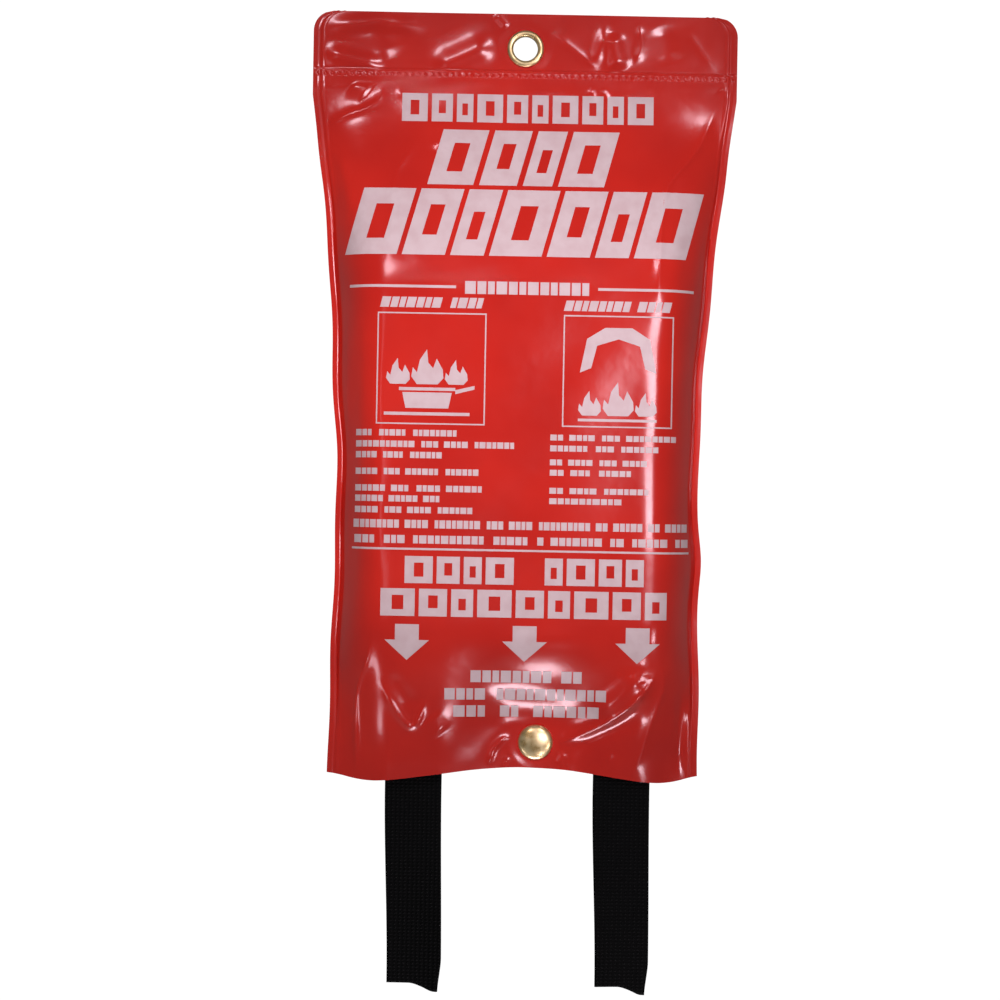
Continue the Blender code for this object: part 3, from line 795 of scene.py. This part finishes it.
def add_cover(bm, x, z):
    """A blanket held over a flame: a draped outline with two folds."""
    add_polygon(bm, ((x - 17, z), (x - 14, z + 15), (x - 6, z + 20), (x + 6, z + 20), (x + 14, z + 15), (x + 17, z),
                     (x + 12, z + 2), (x + 9.5, z + 12), (x, z + 15), (x - 9.5, z + 12), (x - 12, z + 2)))


def print_shapes(bm):
    add_blocks(bm, -55.0, 58.0, -33.6, -20.8, 10)
    add_blocks(bm, -39.5, 39.5, -62.6, -37.2, 4, slant=0.27, gap=0.13)
    add_blocks(bm, -75.0, 77.0, -94.8, -64.6, 7, slant=0.27, gap=0.10)
    for x0, x1 in ((-76.5, -29.0), (34.0, 77.0)):
        add_box(bm, x0, x1, -109.6, -108.4)
    add_blocks(bm, -25.0, 30.0, -112.0, -106.3, 12)
    add_blocks(bm, -62.0, -17.0, -118.4, -113.8, 12, slant=0.25, breaks=(7,))
    add_blocks(bm, 19.5, 66.5, -118.8, -114.2, 13, slant=0.25, breaks=(8,))
    for x0, x1 in ((-63.5, -15.2), (19.0, 68.0)):
        add_frame(bm, x0, x1, -170.2, -120.6, 0.6)
    add_pan(bm, -41.0, -163.0)
    for shift, size in ((-13.0, 11.5), (0.0, 15.5), (12.8, 11.0)):
        add_flame(bm, -41.0 + shift, -152.4, size)
    add_cover(bm, 43.5, -146.0)
    for shift, size in ((-12.4, 11.0), (0.3, 15.0), (12.6, 10.5)):
        add_flame(bm, 43.5 + shift, -165.0, size)
    add_box(bm, 26.0, 61.0, -167.6, -166.4)
    left_lines = ((-174.0, -27.6, 18, (3, 9)), (-179.0, -2.0, 27, (10, 14, 19)), (-183.8, -34.0, 16, (4, 9)),
                  (-191.2, -17.6, 22, (4, 8, 15)), (-198.6, -16.0, 21, (5, 9, 14)), (-203.2, -34.7, 15, (5, 11)),
                  (-208.2, -20.0, 20, (4, 8, 13)))
    for z, x1, count, breaks in left_lines:
        add_blocks(bm, -72.5, x1, z - 1.4, z + 1.4, count, breaks=breaks)
    right_lines = ((-175.0, 70.0, 20, (2, 7, 11)), (-179.8, 62.0, 17, (6, 10)), (-186.0, 57.0, 16, (2, 7, 11)),
                   (-190.6, 50.0, 12, (2, 6)), (-198.6, 58.0, 15, (2, 7)), (-203.2, 46.0, 10, ()))
    for z, x1, count, breaks in right_lines:
        add_blocks(bm, 14.0, x1, z - 1.3, z + 1.3, count, breaks=breaks)
    add_blocks(bm, -73.0, 76.0, -216.2, -212.6, 58, breaks=(8, 13, 22, 26, 31, 41, 44, 50, 53))
    add_blocks(bm, -72.5, 76.5, -223.0, -219.4, 46, breaks=(3, 7, 18, 24, 26, 34, 37, 43))
    add_box(bm, -73.5, 77.0, -225.9, -225.0)
    add_blocks(bm, -49.5, 56.5, -240.6, -228.6, 9, breaks=(4,), gap=0.14)
    add_blocks(bm, -60.0, 67.0, -255.2, -243.0, 9, gap=0.12)
    for x in (-48.0, 4.2, 54.3):
        add_arrow(bm, x, -258.8, -265.8, -274.8, 10.6, 19.8)
    add_blocks(bm, -19.5, 30.0, -284.4, -279.0, 11, breaks=(8,))
    add_blocks(bm, -31.0, 41.0, -292.4, -287.2, 16, breaks=(4,))
    add_blocks(bm, -27.0, 38.0, -300.2, -295.0, 13, breaks=(3, 6))


def lay_print(material):
    """Cuts the print into cells of about a millimetre, lays it on the sheet and splits it down the middle."""
    bm = bmesh.new()
    print_shapes(bm)
    cell = 1.1 * MM
    for normal, low, high in (((1, 0, 0), -90.0 * MM, 90.0 * MM), ((0, 0, 1), -302.0 * MM, -19.0 * MM)):
        count = 2 * int((high - low) / cell / 2.0)
        for i in range(count + 1):
            cut = low + (high - low) * i / count
            bmesh.ops.bisect_plane(bm, geom=bm.verts[:] + bm.edges[:] + bm.faces[:], dist=1e-7,
                                   plane_co=Vector(normal) * cut, plane_no=normal)
    bmesh.ops.triangulate(bm, faces=[face for face in bm.faces if len(face.verts) > 4])
    co = np.array([vert.co for vert in bm.verts])
    y = front_surface(co[:, 0], co[:, 2]) - 0.10 * MM
    for vert, place in zip(bm.verts, y):
        vert.co.y = place
    bmesh.ops.recalc_face_normals(bm, faces=bm.faces)
    bmesh.ops.reverse_faces(bm, faces=[face for face in bm.faces if face.normal.y > 0.0])
    halves = []
    for side, name in ((-1.0, "print_left"), (1.0, "print_right")):
        half = bm.copy()
        other = [face for face in half.faces if face.calc_center_median().x * side < 0.0]
        bmesh.ops.delete(half, geom=other, context="FACES")
        halves.append(new_piece(name, half, material))
    bm.free()
    return halves


# ---- pieces ----

def bend_with_front(piece):
    """Bakes the piece's placement into its mesh."""
    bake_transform(piece)


def make_pouch(pvc):
    side_shares = spread(0.0, 1.0, 1.0 / 82.0, ((0.58, 1.0, 1.0 / 130.0),))
    body_heights = spread(SHEET_FOOT, WELD_LINE, 1.0 * MM)
    right = lay_sheet("front_sheet_right", side_shares, body_heights, front_surface, True,
                      (SNAP_X, SNAP_Z, SNAP_CUT), -1.0, pvc)
    left = lay_sheet("front_sheet_left", -side_shares[::-1], body_heights, front_surface, True, None, -1.0, pvc)
    for piece, side in ((left, -1.0), (right, 1.0)):
        bend_with_front(piece)
    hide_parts("front_panel")

    all_shares = np.concatenate((-side_shares[:0:-1], side_shares))
    header_shares = spread(-1.0, 1.0, 1.0 / 160.0)
    header_heights = spread(WELD_LINE, POUCH_TOP, 0.9 * MM, ((BAND_Z - 2.5 * MM, BAND_Z + 3.0 * MM, 0.4 * MM),))
    header = lay_sheet("header_sheet", header_shares, header_heights, front_surface, False,
                       (0.0, 0.0, EYELET_CUT), -1.0, pvc)
    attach(header, "pouch")
    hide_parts("front_header")

    back_heights = spread(SHEET_FOOT, POUCH_TOP, 2.1 * MM, ((BAND_Z - 2.0 * MM, BAND_Z + 2.5 * MM, 0.6 * MM),))
    back = lay_sheet("back_sheet", all_shares, back_heights, back_surface, True, (0.0, 0.0, EYELET_CUT), 1.0, pvc)
    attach(back, "pouch")
    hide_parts("back_panel")


def fit_brass(name, profile, centre, brass, body, node):
    """A turned brass piece in place of its CAD node, on the node's body."""
    piece = revolve(name, profile, centre, brass)
    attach(piece, body)
    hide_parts(node)


def make_fittings(brass, steel):
    origin = Vector((0.0, 0.0, 0.0))
    face = 0.95
    arc = [(6.9 - 1.4 * math.cos(a), face + 0.25 + 1.05 * math.sin(a)) for a in np.linspace(0.0, math.pi, 13)]
    barrel = arc + [(8.3, face), (6.1, face), (6.1, -1.75), (6.4, -2.0), (5.9, -2.1), (5.5, -1.6), arc[0]]
    fit_brass("eyelet_rolled_flange", barrel, origin, brass, "pouch", "eyelet_barrel")
    washer = [(6.4, -0.95), (8.1, -0.95), (8.3, -1.15), (8.25, -1.55), (7.9, -1.75), (6.4, -1.75), (6.4, -0.95)]
    fit_brass("eyelet_back_washer", washer, origin, brass, "pouch", "eyelet_washer")

    centre = Vector((SNAP_X, 0.0, SNAP_Z))
    angles = np.linspace(0.0, math.pi / 2.0 * 0.985, 22)
    dome = [(7.9 * math.sin(a), 3.45 + 2.35 * math.cos(a) ** 0.9) for a in angles]
    dome[0] = (0.0, 5.8)
    cap = dome + [(7.9, 3.3), (7.7, 3.02), (7.2, 2.95), (2.2, 2.95), (2.2, 2.2), (0.0, 2.2)]
    fit_brass("snap_cap_dome", cap, centre, brass, "front", "snap_cap")
    socket = [(0.0, 1.9), (5.9, 1.9), (6.2, 1.6), (6.25, 0.2), (6.1, -0.25), (5.7, -0.4), (5.0, -0.4), (4.6, -0.1),
              (3.6, -0.1), (3.3, -0.4), (3.05, -0.2), (3.05, 0.1), (4.15, 0.1), (4.15, 1.1), (3.05, 1.1), (3.05, 1.5),
              (0.0, 1.5)]
    fit_brass("snap_socket_shell", socket, centre, brass, "front", "snap_socket")
    stud = [(0.0, 1.2), (1.9, 1.2), (2.5, 1.0), (2.75, 0.7), (2.7, 0.35), (2.35, 0.1), (2.3, -0.55), (2.6, -0.7),
            (5.8, -0.7), (6.15, -0.85), (6.2, -1.3), (5.9, -1.6), (0.0, -1.6)]
    fit_brass("snap_stud_shell", stud, centre, brass, "pouch", "snap_stud")
    post = [(0.0, -1.9), (2.2, -1.9), (2.2, -2.7), (4.6, -2.7), (4.95, -2.85), (5.0, -3.2), (4.7, -3.5), (3.0, -3.55),
            (2.4, -3.3), (1.8, -2.9), (0.0, -2.8)]
    fit_brass("snap_post_flange", post, centre, brass, "pouch", "snap_post")
    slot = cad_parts["snap_spring"].material_slots[0]
    slot.link = "OBJECT"
    slot.material = steel


def set_weave(piece, across, along):
    """A UV map in millimetres, so that a weave keeps its size."""
    layer = piece.data.uv_layers.new(name="weave")
    loops = np.zeros(len(piece.data.loops), int)
    piece.data.loops.foreach_get("vertex_index", loops)
    uv = np.column_stack((across, along))[loops]
    layer.data.foreach_set("uv", uv.astype(np.float32).ravel())


def make_tab(side, webbing):
    """One webbing strap from its sewn end to its cut end, with a slight curl."""
    anchor_low, anchor_high = corners(side + "_tab_anchor")
    tail_low, tail_high = corners(side + "_tab_tail")
    centre = (anchor_low.x + anchor_high.x) / 2.0
    half = (anchor_high.x - anchor_low.x) / 2.0
    thickness = anchor_high.y - anchor_low.y - 0.15 * MM
    outer = -1.0 if centre < 0.0 else 1.0
    top = anchor_high.z
    end = tail_low.z
    columns, rows = 26, 150
    bm = bmesh.new()
    bmesh.ops.create_grid(bm, x_segments=columns, y_segments=rows, size=1.0)
    flat = np.array([vert.co for vert in bm.verts])
    across = flat[:, 0]
    t = (1.0 - flat[:, 1]) / 2.0
    down = ramp(t, 0.45, 1.0)
    z = top + (end - top) * t
    z = z - 3.6 * MM * ramp(across, -0.2, 0.9) * ramp(t, 0.93, 1.0)
    narrowing = 1.0 + 0.02 * ramp(t, 0.3, 0.42) - 0.055 * down
    x = centre + across * half * narrowing + 1.6 * MM * down
    x = x - 1.5 * MM * ramp(across, 0.3, 1.0) * ramp(t, 0.93, 1.0)
    curl = (0.9 * (across ** 2) * down + 1.2 * np.sin(t * 9.0 + outer) * down * 0.6) * MM
    curl = curl - outer * across * 1.3 * MM * down
    y = -curl
    for vert, place in zip(bm.verts, np.column_stack((x, y, z))):
        vert.co = place
    bmesh.ops.recalc_face_normals(bm, faces=bm.faces)
    bmesh.ops.solidify(bm, geom=list(bm.faces), thickness=thickness)
    piece = new_piece(side + "_tab_webbing", bm, webbing)
    co = np.array([vert.co for vert in piece.data.vertices])
    set_weave(piece, (co[:, 0] - centre) / MM, co[:, 2] / MM)
    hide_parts(side + "_tab_anchor", side + "_tab_tail")
    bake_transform(piece)


def leaf_depth(x, z, leaf):
    """y of a leaf of the folded blanket; the front leaves lie before the straps, the others behind.

    The rear leaves keep to the shape of the closed mouth, so that they pass it and the snap on the way out.
    Where the pouch is thin, the leaves are pressed together.
    """
    half = half_width(z, np.zeros_like(z))
    share = np.abs(x) / half
    front = sheet_depth(x, z, share, FRONT_BULGE, FRONT_PINCH, FRONT_LOBE) - CLOTH_ROOM
    bow = sheet_depth(x, z, share, BACK_BULGE, BACK_PINCH, BACK_LOBE)
    lips = BACK_PINCH * ramp(share, FLANGE_SHARE, FLAT_SHARE) + BACK_LOBE * lobe(x)
    back = np.minimum(bow, lips) - CLOTH_ROOM - 3.0 * MM * np.exp(-((x - SNAP_X) / (13.0 * MM)) ** 4)
    back = np.maximum(back, 0.30 * MM - front)
    pitch = CLOTH * np.clip((front + back) / (9.0 * MM), 0.10, 1.0)
    first = np.maximum(back - pitch * (BACK_LEAVES - 0.5), 0.15 * MM - front)
    beside = np.abs(np.abs(x - STRAP_SHIFT) - STRAP_SPREAD)
    strap = ramp(beside, 16.0 * MM, 13.2 * MM) * ramp(z, -270.0 * MM, -285.0 * MM)
    last = np.maximum(first - pitch - 2.0 * MM * strap, 0.15 * MM - front)
    forward = (last + front) * (leaf + 0.2) / (FRONT_LEAVES - 0.8) - front
    backward = first + pitch * (leaf - FRONT_LEAVES)
    return np.where(leaf < FRONT_LEAVES - 0.5, np.minimum(forward, last), np.minimum(backward, back))


def make_blanket(cloth, thread):
    """The blanket folded back and forth: leaves joined at alternate sides, in the space of the CAD slab."""
    per_leaf, per_fold = 18, 4
    top, bottom = blanket_high.z, blanket_low.z
    heights = spread(bottom, top, 12.0 * MM, ((bottom, bottom + HEM + 2.0 * MM, 1.2 * MM),))
    path = []
    for leaf in range(FRONT_LEAVES + BACK_LEAVES):
        direction = 1.0 if leaf % 2 == 0 else -1.0
        for i in range(per_leaf):
            path.append((direction * (-1.0 + 2.0 * i / (per_leaf - 1)), leaf, 0.0))
        if leaf < FRONT_LEAVES + BACK_LEAVES - 1:
            for i in range(1, per_fold):
                angle = math.pi * i / per_fold
                path.append((direction * (1.0 + 0.018 * math.sin(angle)), leaf, (1.0 - math.cos(angle)) / 2.0))
    path = np.array(path)
    bm = bmesh.new()
    bmesh.ops.create_grid(bm, x_segments=len(path) - 1, y_segments=len(heights) - 1, size=1.0)
    flat = np.array([vert.co for vert in bm.verts])
    column = np.rint((flat[:, 0] + 1.0) / 2.0 * (len(path) - 1)).astype(int)
    row = np.rint((flat[:, 1] + 1.0) / 2.0 * (len(heights) - 1)).astype(int)
    across, leaf, turn = path[column].T
    level = heights[row]
    t = (level - bottom) / (top - bottom)
    uneven = np.sin(leaf * 2.4) * 1.2 * MM + np.sin(leaf * 5.1 + 1.0) * 0.7 * MM
    z = level + uneven * (1.0 - t) + np.sin(leaf * 3.3) * 1.0 * MM * t
    reach = 0.765 * half_width(z, np.zeros_like(z)) + np.sin(leaf * 1.9) * 0.8 * MM
    x = across * reach * 0.985
    y = leaf_depth(x, z, leaf + turn) + np.sin(leaf * 1.7 + across * 2.2) * 0.12 * MM
    # the outer leaf's hem is doubled over at its foot
    y = y - HEM_STEP * ramp(level, bottom + HEM + 0.6 * MM, bottom + HEM - 0.6 * MM) * (leaf + turn < 0.01)
    for vert, place in zip(bm.verts, np.column_stack((x, y, z))):
        vert.co = place
    bmesh.ops.recalc_face_normals(bm, faces=bm.faces)
    piece = new_piece("folded_blanket", bm, cloth)
    steps = np.hypot(np.diff(path[:, 0]) * 63.0, np.diff(path[:, 1] + path[:, 2]))
    along = np.concatenate(([0.0], np.cumsum(steps)))
    set_weave(piece, along[column], z / MM)
    thickness = piece.modifiers.new("Thickness", "SOLIDIFY")
    thickness.thickness = CLOTH
    thickness.offset = 0.0
    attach(piece, "blanket")
    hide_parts("blanket")

    foot = bottom + 0.7 * MM * math.sin(1.0)
    bm = bmesh.new()
    for height in (HEM - 2.0 * MM, HEM - 5.0 * MM):
        for i in range(STITCH_COUNT):
            place = Vector(((i - (STITCH_COUNT - 1) / 2.0) * STITCH_PITCH, 0.0, foot + height))
            depth = leaf_depth(np.array([place.x]), np.array([place.z]), 0.0)[0]
            wave = math.sin(place.x / (63.0 * MM) * 2.2) * 0.12 * MM
            place.y = depth + wave - HEM_STEP - 0.25 * MM
            matrix = Matrix.Translation(place) @ Matrix.Diagonal((1.2 * MM, 0.22 * MM, 0.25 * MM, 1.0))
            bmesh.ops.create_uvsphere(bm, u_segments=8, v_segments=5, radius=1.0, matrix=matrix)
    stitches = new_piece("hem_stitching", bm, thread)
    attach(stitches, "blanket")


def main():
    add_camera()
    add_studio()
    pvc = calendered_pvc()
    make_pouch(pvc)
    ink = screen_ink()
    for piece, side in zip(lay_print(ink), (-1.0, 1.0)):
        bend_with_front(piece)
    make_fittings(polished_brass(), spring_steel())
    webbing = woven_webbing()
    for side in ("left", "right"):
        make_tab(side, webbing)
    make_blanket(glass_cloth(), bonded_thread())


main()
